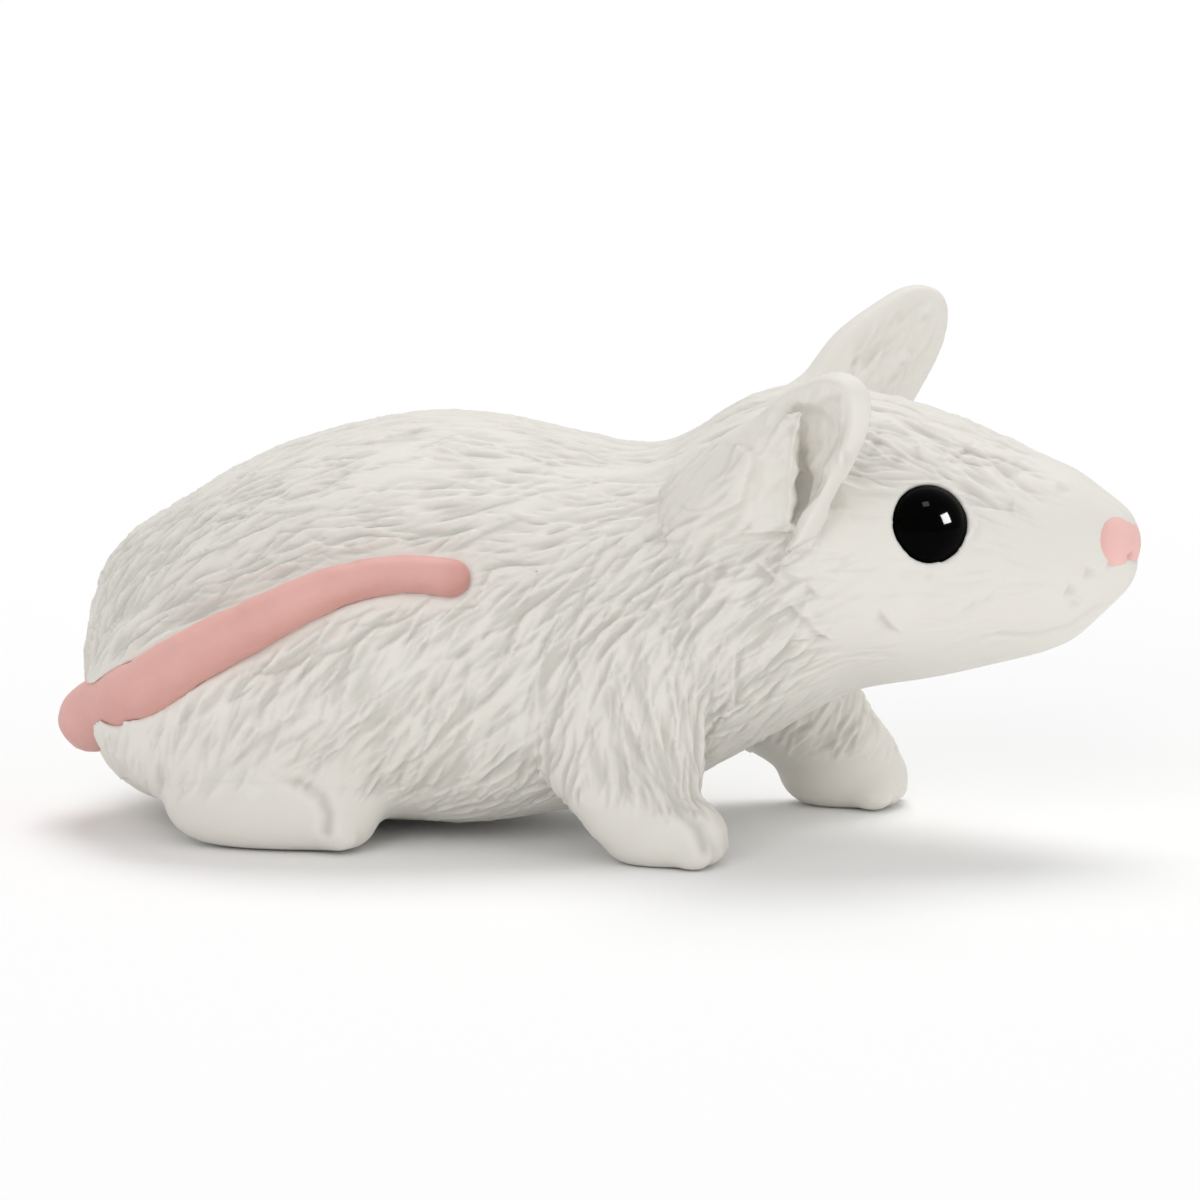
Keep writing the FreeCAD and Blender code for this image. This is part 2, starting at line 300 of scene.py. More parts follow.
def moundBehindEar(points, name):
    # the skin between the neck and the trough beside the ear's rim
    along, across, out = onLeaf(points, leafFrame(name))
    near = fade(*mound["acrossIn"], across) * fade(*mound["acrossOut"], across)
    near = near * fade(*mound["alongOut"], np.abs(along))
    return near * fade(*mound["hollowIn"], out) * fade(*mound["hollowOut"], out)


def sculptEar(points, normals, name):
    leaf = leafFrame(name)
    along, across, out = onLeaf(points, leaf)
    outline = np.stack(onLeaf(leaf["points"], leaf)[:2], 1)
    inside = outlineDistance(np.stack([along, across], 1), outline)
    rootEnd = outline[:, 0].min() + ear["rootHeight"]
    near = (inside > -ear["outlineSpare"]) & (np.abs(out) < ear["halfThickness"])
    near = near & (along > rootEnd - ear["rootSpare"])
    grown = fade(rootEnd, rootEnd + ear["rootBlend"], along)
    facing = normals @ leaf["hollow"]
    rim = 1 - fade(ear["rimFull"], ear["rimWidth"], inside)
    bowl = fade(ear["bowlEdge"], ear["bowlEdge"] + ear["bowlBlend"], inside) * fade(*ear["faces"], facing)
    fold = np.exp(-((across + ear["ridgeAt"] - ear["ridgeLean"] * along) / ear["ridgeWidth"]) ** 2)
    fold = fold * fade(*ear["faces"], -facing) * fade(*ear["ridgeEdge"], inside)
    ripple = np.zeros(len(points))
    leafPlace = np.stack([along, across, out], 1) * ear["wrinkleStretch"]
    ripple[near] = unevenness(leafPlace[near], ear["wrinkleSize"], ear["wrinkle"])
    push = ear["rimSwell"] * rim - ear["bowlDepth"] * bowl + ear["backRidge"] * fold
    push = push + ripple * (1 - rim)
    amount = np.where(near, push * grown, 0)
    moreOutside = (ear["hairOutside"] - ear["hairInside"]) * fade(*ear["hairTurn"], facing)
    hairShare = (ear["hairInside"] + moreOutside) * fade(*ear["hairEdge"], inside)
    return points + normals * amount[:, None], np.where(near, 1 - grown * (1 - hairShare), 1)


# fur

# where the hair lies which way: x, distance from the middle plane, z, then the way it points
# towards its tip (x, outwards, z), all in millimetres on the body
comb = [
    (-4, 0, 20, -1.0, 0.00, -0.06), (-12, 2, 19, -1.0, 0.05, -0.20), (-20, 2, 16, -0.85, 0.1, -0.55),
    (-25, 2, 10, -0.3, 0.1, -1.0), (-23, 6, 9, -0.5, 0.1, -0.9), (-18, 9, 12, -0.9, 0.0, -0.45),
    (-18, 9, 5, -0.45, 0.1, -0.9), (-10, 10, 15, -1.0, 0.0, -0.18), (-10, 10, 9, -0.6, 0.0, -0.8),
    (-9, 9, 3, -0.55, 0.0, -0.85), (-3, 8, 16, -1.0, 0.0, -0.22), (-3, 9, 10, -0.75, 0.0, -0.7),
    (-4, 8, 4, -0.5, 0.0, -0.85), (2, 3, 19, -1.0, 0.05, -0.05), (3, 8, 14, -0.75, 0.0, -0.7),
    (0, 9, 9, -0.35, 0.0, -0.95), (5, 9, 8, 0.10, 0.0, -1.0), (4, 9, 4, 0.35, 0.0, -0.95),
    (8, 7, 9, -0.45, 0.0, -0.9), (8, 8, 15, -0.8, 0.0, -0.55), (9, 3, 6, -0.6, -0.2, -0.7),
    (8, 2, 22, -1.0, 0.0, -0.25), (15, 2, 21, -1.0, 0.0, 0.30), (14, 7, 12, -1.0, 0.0, -0.15),
    (19, 3, 18.5, -1.0, 0.1, 0.40), (18, 5, 11, -1.0, 0.0, -0.10), (23, 2, 12, -1.0, 0.1, 0.0),
    (-10, 0, 1, -1.0, 0.0, 0.0), (2, 0, 2, -1.0, 0.0, 0.0),
    (12.5, 8, 20.5, 0.5, 0.64, 0.58), (15, 11.5, 24, 0.5, 0.64, 0.58),
]


combNear, combFalloff = 0.6, 3.2


def combAt(points):
    guides = np.array(comb, float)
    where = np.stack([points[:, 0], np.abs(points[:, 1]), points[:, 2]], 1)
    gap = np.linalg.norm(where[:, None, :] - guides[None, :, :3], axis=2)
    share = 1 / (gap + combNear) ** combFalloff
    way = (share[:, :, None] * guides[None, :, 3:]).sum(1)
    way[:, 1] *= np.sign(points[:, 1])
    return way / np.linalg.norm(way, axis=1)[:, None]


def footBoxes():
    boxes = []
    for name in limbs:
        low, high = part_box(name)
        boxes.append((name, np.array(low) / mm, np.array(high) / mm))
    return boxes


paws = {
    "foreZone": {"fromOutside": 2.4, "halfWidth": 3.2, "behind": 7.6, "ahead": 1.0, "top": 3.8},
    "hindZone": {"behind": 3.0, "ahead": 1.4, "inner": 4.0, "top": 6.0},
    # where the fur ends: its height, and how it rises towards the wrist and over the foot
    "foreHeight": 2.7, "foreRise": 0.3, "foreRiseAt": (3.0, 6.0),
    "hindHeight": 2.4, "hindRise": 0.7, "archAhead": 0.8, "archHalf": 5.2, "archLowest": -0.6,
    "jag": 0.55, "jagSize": 0.8, "jagStretch": (1, 1, 0.2), "edge": 0.35, "step": 0.04,
    "foreRounds": 40, "hindRounds": 260,
    "creaseWidth": 0.26, "creaseDepth": 0.15, "creaseLip": 0.05, "lipAt": 2.0,
    "creaseSides": (0.0, 0.45), "creaseTop": (0.1, 0.9), "creaseFoot": (0.6, 1.3),
    # creases between the toes: how far behind the toes' front, and z
    "foreCrease": [(2.5, 3.1), (1.7, 2.7), (1.15, 2.2), (0.8, 1.5), (0.66, 0.8)],
    "hindCrease": [(5.3, 4.1), (3.7, 3.5), (2.7, 2.9), (2.3, 2.1), (2.4, 1.2)],
}


def footZone(points, name, low, high):
    # the paw itself with the skin just round it, without the arm above
    x, y, z = points.T
    middle = (low[1] + high[1]) / 2
    zone = paws["hindZone" if "hind" in name else "foreZone"]
    lengthwise = (x > low[0] - zone["behind"]) if "hind" in name else (x > high[0] - zone["behind"])
    lengthwise = lengthwise & (x < high[0] + zone["ahead"]) & (z < zone["top"])
    if "hind" in name:
        return lengthwise & (y * np.sign(middle) > zone["inner"])
    outer = (high[1] - zone["fromOutside"]) if middle > 0 else (low[1] + zone["fromOutside"])
    return lengthwise & (np.abs(y - outer) < zone["halfWidth"])


def barePaws(points):
    # 1 where fur covers the skin, 0 on the bare paws, with a ragged edge
    cover = np.ones(len(points))
    x, _, z = points.T
    for name, low, high in footBoxes():
        zone = footZone(points, name, low, high)
        if "fore" in name:
            edge = paws["foreHeight"] + paws["foreRise"] * fade(*paws["foreRiseAt"], high[0] - x)
        else:
            arch = 1 - ((x - (low[0] + high[0]) / 2 - paws["archAhead"]) / paws["archHalf"]) ** 2
            edge = paws["hindHeight"] + paws["hindRise"] * np.clip(arch, paws["archLowest"], 1)
        jag = np.zeros(len(points))
        jag[zone] = unevenness(points[zone] * paws["jagStretch"], paws["jagSize"], paws["jag"])
        edge = edge + jag
        bare = 1 - fade(edge - paws["edge"], edge + paws["edge"], z)
        cover = np.where(zone, np.minimum(cover, 1 - bare), cover)
    return cover


def lineGap(x, z, bends):
    # distance in the x-z plane to a bent line
    best = np.full(len(x), 99.0)
    for (x0, z0), (x1, z1) in zip(bends, bends[1:]):
        step = np.array([x1 - x0, z1 - z0])
        share = np.clip(((x - x0) * step[0] + (z - z0) * step[1]) / (step @ step), 0, 1)
        best = np.minimum(best, np.hypot(x - x0 - share * step[0], z - z0 - share * step[1]))
    return best


def creaseToes(points, normals):
    push = np.zeros(len(points))
    x, _, z = points.T
    above, below = paws["creaseTop"]
    for name, low, high in footBoxes():
        outwards = normals[:, 1] * np.sign((low[1] + high[1]) / 2)
        kind = "foreCrease" if "fore" in name else "hindCrease"
        bends = [(high[0] - back, height) for back, height in paws[kind]]
        top = bends[0][1]
        sideways = fade(*paws["creaseSides"], outwards) * footZone(points, name, low, high)
        sideways = sideways * fade(top + above, top - below, z) * fade(*paws["creaseFoot"], z)
        gap = lineGap(x, z, bends) / paws["creaseWidth"]
        push -= sideways * paws["creaseDepth"] * np.exp(-gap * gap)
        push += sideways * paws["creaseLip"] * np.exp(-(gap - paws["lipAt"]) ** 2)
    return push


furMap = {  # how much shallower the hair is in each place, and between which positions it changes
    "face": (9.5, 14.5), "faceLess": 0.76,
    "crown": (17.2, 19.2), "crownSlope": 0.42, "crownFrom": 14, "crownUp": (0.15, 0.55), "crownBack": 0.50,
    "muzzle": (20.5, 23.0), "muzzleLess": 0.75,
    "belly": (-0.95, -0.55), "bellyLeft": 0.45,
    "back": (14.5, 17.5), "backLess": 0.30,
    "neck": (5.5, 17.5), "neckSize": (3.2, 2.6), "neckLess": 0.45,
    "haunch": (-8, -12), "haunchTop": (6.5, 3.5), "haunchLess": 0.40,
    "tailReach": 1.0, "tail": (0.1, 0.9), "tailLeft": 0.15,
}


def furDepth(points, normals):
    # how deeply the hair is cut in, over the body
    x, _, z = points.T
    up = normals[:, 2]
    face = fade(*furMap["face"], x)
    crown = fade(*furMap["crown"], z + (x - furMap["crownFrom"]) * furMap["crownSlope"])
    crown = crown * fade(*furMap["crownUp"], up)
    depth = 1 - face * (furMap["faceLess"] - furMap["crownBack"] * crown)
    depth = depth * (1 - fade(*furMap["muzzle"], x) * furMap["muzzleLess"])
    depth = depth * (furMap["bellyLeft"] + (1 - furMap["bellyLeft"]) * fade(*furMap["belly"], up))
    depth = depth * (1 - furMap["backLess"] * fade(*furMap["back"], z) * (1 - face))
    neckX, neckZ = furMap["neck"]
    neckLength, neckHeight = furMap["neckSize"]
    neck = np.exp(-((x - neckX) / neckLength) ** 2 - ((z - neckZ) / neckHeight) ** 2)
    haunch = fade(*furMap["haunch"], x) * fade(*furMap["haunchTop"], z)
    byTail = fade(*furMap["tail"], gapTo(points, "tail", furMap["tailReach"]))
    depth = depth * (1 - furMap["neckLess"] * neck) * (1 - furMap["haunchLess"] * haunch)
    return depth * (furMap["tailLeft"] + (1 - furMap["tailLeft"]) * byTail)


hair = {
    "seed": 11, "wander": 0.20, "bend": 0.07, "deepest": 0.24, "highest": 0.13,
    "rarest": 0.02, "steepAhead": 0.7, "leastWay": 0.1, "spare": 0.3, "sameFacing": 0.35, "endShape": 0.8,
    "layers": [  # flat lens-shaped pockets first, then long, middling and short gouges
        {"count": 420, "length": (1.6, 3.4), "halfWidth": (0.26, 0.44), "depth": (0.06, 0.11), "flat": 3},
        {"count": 1700, "length": (2.4, 4.8), "halfWidth": (0.13, 0.23), "depth": (0.08, 0.17), "flat": 0},
        {"count": 2600, "length": (1.2, 3.0), "halfWidth": (0.10, 0.16), "depth": (0.05, 0.12), "flat": 0},
        {"count": 1800, "length": (0.6, 1.5), "halfWidth": (0.08, 0.12), "depth": (0.03, 0.07), "flat": 0},
    ],
    "steepSide": 0.55, "shallowSide": 1.35, "lipAt": 1.25, "lipWidth": 0.42, "lipHeight": 0.62,
}


def gougeProfile(t, flat):
    # across one stroke: a steep wall with a raised lip on one side, a shallow slope on the other
    if flat:
        return -np.exp(-np.abs(t) ** flat) + 0.30 * np.exp(-((t - 1.35) / 0.3) ** 2)
    width = np.where(t > 0, hair["steepSide"], hair["shallowSide"])
    lip = hair["lipHeight"] * np.exp(-((t - hair["lipAt"]) / hair["lipWidth"]) ** 2)
    return -np.exp(-((t / width) ** 2)) + lip


def carveFur(points, normals, depthMap):
    rng = np.random.default_rng(hair["seed"])
    tree = treeOf(points)
    lift = np.zeros(len(points))
    chance = np.clip(depthMap, hair["rarest"], 1)
    chance = chance / chance.sum()
    for layer in hair["layers"]:
        roots = rng.choice(len(points), layer["count"], replace=False, p=chance)
        ways = combAt(points[roots])
        length = rng.uniform(*layer["length"], len(roots))
        width = rng.uniform(*layer["halfWidth"], len(roots))
        depth = rng.uniform(*layer["depth"], len(roots))
        turn = rng.normal(0, hair["wander"], len(roots))
        bend = rng.normal(0, hair["bend"], len(roots))
        steepWay = np.where(rng.random(len(roots)) < hair["steepAhead"], 1, -1)
        for k, root in enumerate(roots):
            normal = normals[root]
            way = ways[k] - normal * (ways[k] @ normal)
            size = np.linalg.norm(way)
            if size < hair["leastWay"]:
                continue
            way = way / size
            across = np.cross(normal, way)
            way = way * math.cos(turn[k]) + across * math.sin(turn[k])
            across = np.cross(normal, way)
            reach = length[k] / 2
            near = np.array([hit[1] for hit in tree.find_range(points[root], reach + hair["spare"])])
            rel = points[near] - points[root]
            s = rel @ way / reach
            facing = (normals[near] @ normal > hair["sameFacing"]) & (np.abs(s) < 1)
            near, rel, s = near[facing], rel[facing], s[facing]
            taper = np.clip(1 - s * s, 0, 1)
            t = (rel @ across - bend[k] * (rel @ way) ** 2) / width[k] / (0.45 + 0.55 * taper)
            shape = gougeProfile(t * steepWay[k], layer["flat"]) * taper ** hair["endShape"]
            lift[near] += shape * depth[k] * depthMap[near]
    over = lift > 0
    lift[over] = hair["highest"] * np.tanh(lift[over] / hair["highest"])
    lift[~over] = hair["deepest"] * np.tanh(lift[~over] / hair["deepest"])
    return lift


# face marks: dimples and lines pressed into the skin

face = {
    "marks": [  # x, z, tilt, length, half width, depth, on each side of the head
        (16.1, 19.6, -60, 0.9, 0.16, 0.1), (18.2, 19.5, 40, 1.1, 0.18, 0.11),
        (20.3, 18.5, -8, 1.5, 0.22, 0.1), (22.8, 17.7, -35, 0.9, 0.18, 0.09),
        (20.7, 16.9, -80, 1.2, 0.16, 0.07), (19.2, 16.0, 65, 1.3, 0.18, 0.07),
        (14.2, 20.2, 85, 1.6, 0.26, 0.1), (24.2, 13.8, 70, 0.7, 0.22, 0.11),
        (23.4, 13.0, 60, 0.8, 0.24, 0.13), (25.1, 14.1, 75, 0.5, 0.18, 0.09),
        (23.6, 12.3, -50, 0.6, 0.2, 0.09), (15.2, 11.7, -55, 1.7, 0.24, 0.14),
        (11.2, 12.0, -35, 1.8, 0.28, 0.15), (12.0, 11.1, -40, 1.5, 0.24, 0.14),
        (9.6, 14.1, -40, 2.0, 0.22, 0.15), (10.8, 14.0, -20, 1.2, 0.22, 0.12),
        (11.8, 13.3, -45, 1.0, 0.22, 0.12), (8.6, 16.2, 35, 1.2, 0.2, 0.1),
        (17.2, 14.1, 10, 0.5, 0.16, 0.06), (19.8, 12.8, 40, 1.3, 0.16, 0.06),
        (19.0, 12.4, 40, 1.2, 0.16, 0.06), (7.3, 14.3, 60, 1.0, 0.26, 0.14),
        (6.6, 13.3, 70, 1.1, 0.24, 0.12), (13.3, 14.9, 15, 0.8, 0.22, 0.06),
    ],
    "markBow": 0.12, "sides": (0.15, 0.5),
    "lidGap": 0.12, "lidWidth": 0.26, "lidHeight": 0.04, "lidInside": 0.6,
    "mouth": [(24.6, 12.0), (23.2, 11.1), (21.6, 10.7), (20.2, 10.9)],
    "mouthDepth": 0.06, "mouthWidth": 0.16,
    "muzzleFrom": 22.8, "muzzleTo": 25.6, "muzzleMiddle": 14.7, "muzzleNarrower": 0.13,
}


def pressFace(points, normals):
    push = np.zeros(len(points))
    x, _, z = points.T
    sideways = fade(*face["sides"], np.abs(normals[:, 1]))
    for markX, markZ, tilt, length, width, depth in face["marks"]:
        turn = math.radians(tilt)
        along = ((x - markX) * math.cos(turn) + (z - markZ) * math.sin(turn)) / (length / 2)
        across = (z - markZ) * math.cos(turn) - (x - markX) * math.sin(turn)
        taper = np.clip(1 - along * along, 0, 1)
        across = (across - face["markBow"] * length * (1 - taper)) / width / (0.5 + 0.5 * taper)
        push += sideways * depth * gougeProfile(across, 0) * taper
    gap = lineGap(x, z, face["mouth"]) / face["mouthWidth"]
    push -= sideways * face["mouthDepth"] * np.exp(-gap * gap)
    for name in ("right_eye", "left_eye"):
        eyeMiddle, radius = eyeBall(name)
        gap = np.linalg.norm(points - eyeMiddle, axis=1) - radius
        lid = np.exp(-((gap - face["lidGap"]) / face["lidWidth"]) ** 2)
        push += face["lidHeight"] * lid * (gap > -face["lidInside"])
    return push


def narrowMuzzle(points):
    # the muzzle draws in round the nose
    share = face["muzzleNarrower"] * fade(face["muzzleFrom"], face["muzzleTo"], points[:, 0])
    points[:, 1] *= 1 - share
    points[:, 2] += (face["muzzleMiddle"] - points[:, 2]) * share
    return points


def eyeBall(name):
    # middle and radius of an eye, from the outer cap of its CAD node
    points = pointsOf(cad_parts[name].data)
    side = 1 if points[:, 1].mean() > 0 else -1
    low, high = points[:, 2].min(), points[:, 2].max()
    radius = (high - low) / 2
    front, outermost = points[:, 0].max(), (points[:, 1] * side).max()
    return np.array([front - radius, side * (outermost - radius), (low + high) / 2]), radius


def shapeSkin(piece):
    mesh = piece.data
    points = pointsOf(mesh)
    edges = edgesOf(mesh)
    for name in ears:
        points = relaxNear(points, edges, moundBehindEar(points, name), mound["rounds"])
    away = fade(*skin["tailFade"], gapTo(points, "tail", skin["tailReach"]))
    points = relax(points, edges, skin["softenRounds"], skin["tailWeight"] + skin["awayWeight"] * away)
    for name, low, high in footBoxes():
        rounds = paws["foreRounds"] if "fore" in name else paws["hindRounds"]
        points = relaxNear(points, edges, footZone(points, name, low, high), rounds)
    movePoints(mesh, points)
    normals = normalsOf(mesh)
    earHair = np.ones(len(points))
    for name in ears:
        points, share = sculptEar(points, normals, name)
        earHair = np.minimum(earHair, share)
    points = narrowMuzzle(relax(points, edges, skin["lastRounds"]))
    movePoints(mesh, points)
    normals = normalsOf(mesh)
    cover = barePaws(points)
    depthMap = furDepth(points, normals) * earHair * cover
    print("fur")
    lift = carveFur(points, normals, depthMap)
    lift = lift + paws["step"] * (cover - 1) + creaseToes(points, normals) + pressFace(points, normals)
    points = points + normals * lift[:, None]
    points[:, 2] = np.maximum(points[:, 2], 0.0)
    movePoints(mesh, points)
    return lift


lift = shapeSkin(whole)
print("skin shaped")


# vinyl and eye finishes

def nodeMaterial(name):
    material = bpy.data.materials.new(name)
    material.use_nodes = True
    tree = material.node_tree
    tree.nodes.clear()
    out = tree.nodes.new("ShaderNodeOutputMaterial")
    shader = tree.nodes.new("ShaderNodeBsdfPrincipled")
    tree.links.new(shader.outputs["BSDF"], out.inputs["Surface"])
    return material, tree, shader


def noiseAt(tree, place, scale, detail, roughness=0.55):
    grain = tree.nodes.new("ShaderNodeTexNoise")
    grain.inputs["Scale"].default_value = scale
    grain.inputs["Detail"].default_value = detail
    grain.inputs["Roughness"].default_value = roughness
    tree.links.new(place, grain.inputs["Vector"])
    return grain


def rampOf(tree, value, stops):
    # from the first colour to the second
    ramp = tree.nodes.new("ShaderNodeValToRGB")
    for element, (where, colour) in zip(ramp.color_ramp.elements, stops):
        element.position = where
        element.color = (*colour, 1)
    tree.links.new(value, ramp.inputs["Fac"])
    return ramp


def mixOf(tree, share, first, second):
    mix = tree.nodes.new("ShaderNodeMix")
    mix.data_type = "RGBA"
    for value, name in ((share, "Factor"), (first, "A"), (second, "B")):
        socket = mix.inputs[name]
        if hasattr(value, "links"):
            tree.links.new(value, socket)
        else:
            socket.default_value = value
    return mix.outputs["Result"]


def fineSurface(tree, shader, place, look):
    # grain in the roughness and the height, and a little light let into the vinyl
    fine = noiseAt(tree, place, look["grainScale"], look["grainDetail"], 0.6)
    rough = tree.nodes.new("ShaderNodeMapRange")
    rough.inputs["To Min"].default_value, rough.inputs["To Max"].default_value = look["roughness"]
    tree.links.new(fine.outputs["Fac"], rough.inputs["Value"])
    tree.links.new(rough.outputs["Result"], shader.inputs["Roughness"])
    bumpFrom(tree, shader, fine, look["grain"], look["grainHeight"])
    shader.inputs["Subsurface Weight"].default_value = look["subsurface"]
    shader.inputs["Subsurface Radius"].default_value = look["letIn"]
    shader.inputs["Subsurface Scale"].default_value = 0.5 * mm
    shader.inputs["Specular IOR Level"].default_value = 0.35


def bumpFrom(tree, shader, grain, strength, height):
    bump = tree.nodes.new("ShaderNodeBump")
    bump.inputs["Strength"].default_value = strength
    bump.inputs["Distance"].default_value = height * mm
    tree.links.new(grain.outputs["Fac"], bump.inputs["Height"])
    tree.links.new(bump.outputs["Normal"], shader.inputs["Normal"])


whiteVinyl = {
    "light": (0.80, 0.778, 0.728), "warm": (0.775, 0.748, 0.69), "cloudScale": 160,
    # the grooves' grey is painted shade: the colour the fur turns to where it is cut in deep
    "groove": (0.62, 0.60, 0.55), "grooveFull": 0.20, "grooveCurve": 1.2,
    "grainScale": 2600, "grainDetail": 6, "grain": 0.16, "grainHeight": 0.06,
    "roughness": (0.50, 0.66), "subsurface": 0.12, "letIn": (1.0, 0.8, 0.6),
}


def makeWhiteVinyl():
    material, tree, shader = nodeMaterial("whiteVinyl")
    place = tree.nodes.new("ShaderNodeTexCoord").outputs["Object"]
    cloud = noiseAt(tree, place, whiteVinyl["cloudScale"], 3)
    base = mixOf(tree, cloud.outputs["Fac"], (*whiteVinyl["light"], 1), (*whiteVinyl["warm"], 1))
    # painted shade: the colour greys in the fur's grooves, more where they are cut deeper
    grooveShadeAmount = tree.nodes.new("ShaderNodeAttribute")
    grooveShadeAmount.attribute_name = "grooveShadeAmount"
    depth = rampOf(tree, grooveShadeAmount.outputs["Fac"], [(0.0, (0, 0, 0)), (1.0, (1, 1, 1))])
    base = mixOf(tree, depth.outputs["Color"], base, (*whiteVinyl["groove"], 1))
    tree.links.new(base, shader.inputs["Base Color"])
    fineSurface(tree, shader, place, whiteVinyl)
    return material


pinkVinyl = {
    "light": (0.80, 0.455, 0.41), "dark": (0.55, 0.27, 0.235), "cloudScale": 420,
    "noseLight": (0.90, 0.59, 0.54), "noseDark": (0.78, 0.42, 0.39), "cloudShare": 0.5, "lighter": 0.25,
    "grainScale": 2400, "grainDetail": 5, "grain": 0.2, "grainHeight": 0.05,
    "roughness": (0.48, 0.62), "subsurface": 0.1, "letIn": (1.0, 0.5, 0.4),
}


def makePinkVinyl(name, light, dark):
    material, tree, shader = nodeMaterial(name)
    place = tree.nodes.new("ShaderNodeTexCoord").outputs["Object"]
    # this attribute carries painted shade (the tail's underside and front end, the nostrils) besides
    # darker colour at the tail's tip and the nose's rear edge
    darkening = tree.nodes.new("ShaderNodeAttribute")
    darkening.attribute_name = "darkening"
    cloud = noiseAt(tree, place, pinkVinyl["cloudScale"], 4)
    shade = tree.nodes.new("ShaderNodeMath")
    shade.operation = "MULTIPLY_ADD"
    shade.inputs[1].default_value = pinkVinyl["cloudShare"]
    tree.links.new(cloud.outputs["Fac"], shade.inputs[0])
    lower = tree.nodes.new("ShaderNodeMath")
    lower.operation = "SUBTRACT"
    lower.inputs[1].default_value = pinkVinyl["lighter"]
    tree.links.new(darkening.outputs["Fac"], lower.inputs[0])
    tree.links.new(lower.outputs["Value"], shade.inputs[2])
    ramp = rampOf(tree, shade.outputs["Value"], [(0.0, light), (1.0, dark)])
    tree.links.new(ramp.outputs["Color"], shader.inputs["Base Color"])
    fineSurface(tree, shader, place, pinkVinyl)
    return material


eyeGloss = {
    "dark": (0.00002, 0.00002, 0.00002), "light": (0.00006, 0.00006, 0.00006), "cloudScale": 700,
    "brushScale": 1300, "brush": 0.06, "brushHeight": 0.04, "roughness": 0.07, "shine": 0.03,
}


def makeEyeGloss():
    material, tree, shader = nodeMaterial("eyeGloss")
    place = tree.nodes.new("ShaderNodeTexCoord").outputs["Object"]
    cloud = noiseAt(tree, place, eyeGloss["cloudScale"], 3)
    ramp = rampOf(tree, cloud.outputs["Fac"], [(0.35, eyeGloss["dark"]), (0.75, eyeGloss["light"])])
    tree.links.new(ramp.outputs["Color"], shader.inputs["Base Color"])
    brush = noiseAt(tree, place, eyeGloss["brushScale"], 3)
    bumpFrom(tree, shader, brush, eyeGloss["brush"], eyeGloss["brushHeight"])
    shader.inputs["Roughness"].default_value = eyeGloss["roughness"]
    shader.inputs["Specular IOR Level"].default_value = eyeGloss["shine"]
    return material


finishes = {
    "white_vinyl": makeWhiteVinyl(),
    "pink_vinyl": makePinkVinyl("tailPink", pinkVinyl["light"], pinkVinyl["dark"]),
    "nose_pink": makePinkVinyl("nosePink", pinkVinyl["noseLight"], pinkVinyl["noseDark"]),
    "black_gloss": makeEyeGloss(),
}


def finish(piece, nodeName, material):
    piece.data.polygons.foreach_set("use_smooth", np.ones(len(piece.data.polygons), bool))
    piece.data.materials.clear()
    piece.data.materials.append(material)
    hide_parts(nodeName)
    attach(piece, "root")


def storeFloat(mesh, name, values):
    layer = mesh.attributes.new(name, "FLOAT", "POINT")
    layer.data.foreach_set("value", values.astype(np.float32))


# the skin cut into its mouldings

cuts = {
    "limbSwell": 0.40, "earSwell": 0.45, "cutterVoxel": 0.22,
    "neckTilt": 14.0, "neckZ": 12.0, "neckBlock": 0.2,
}


def cutterFrom(name, swell):
    return largestShell(remeshed(copyOfNode(name, swell), cuts["cutterVoxel"]))


def neckCutter():
    # everything in front of the neck joint
    size = cuts["neckBlock"]
    shape = bmesh.new()
    bmesh.ops.create_cube(shape, size=size)
    mesh = bpy.data.meshes.new("neckCutter")
    shape.to_mesh(mesh)
    shape.free()
    cutter = newObject("neckCutter", mesh)
    turn = Matrix.Rotation(math.radians(-cuts["neckTilt"]), 4, "Y")
    cutter.data.transform(Matrix.Translation(neckPoint()) @ turn @ Matrix.Translation((size / 2, 0, 0)))
    return cutter


def neckPoint():
    # a point in the plane where the torso ends
    tilt = math.radians(cuts["neckTilt"])
    points = pointsOf(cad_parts["torso"].data)
    way = np.array([math.cos(tilt), 0, math.sin(tilt)])
    reach = (points @ way).max()
    return Vector(((reach - cuts["neckZ"] * way[2]) / way[0] * mm, 0, cuts["neckZ"] * mm))


def booleanCut(piece, cutter, operation, name):
    result = newObject(name, piece.data.copy())
    knife = result.modifiers.new("cut", "BOOLEAN")
    knife.operation = operation
    knife.solver = "MANIFOLD"
    knife.object = cutter
    return baked(result)


def cutSkin(whole):
    pieces = {}
    rest = whole
    steps = [(name, cutterFrom(name, cuts["earSwell"])) for name in ears]
    steps += [(name, cutterFrom(name, cuts["limbSwell"])) for name in limbs]
    steps.append(("head", neckCutter()))
    for name, cutter in steps:
        pieces[name] = booleanCut(rest, cutter, "INTERSECT", name + "Fur")
        smaller = booleanCut(rest, cutter, "DIFFERENCE", "restFur")
        if rest is not whole:
            bpy.data.objects.remove(rest)
        rest = smaller
        bpy.data.objects.remove(cutter)
        print("cut", name, len(pieces[name].data.vertices), "points")
    pieces["torso"] = rest
    return pieces


def keepSkinLook(piece, tree, skinNormals, grooveShadeAmount):
    points = pointsOf(piece.data)
    nearest = np.array([tree.find(point)[1] for point in points])
    # each piece keeps the painted groove shade of the whole skin
    storeFloat(piece.data, "grooveShadeAmount", grooveShadeAmount[nearest])
    piece.data.normals_split_custom_set_from_vertices(skinNormals[nearest])


names = {
    "torso": "torsoVinyl", "head": "headVinyl", "right_ear": "rightEar", "left_ear": "leftEar",
    "right_foreleg": "rightForeleg", "left_foreleg": "leftForeleg",
    "right_hind_foot": "rightHindFoot", "left_hind_foot": "leftHindFoot",
}


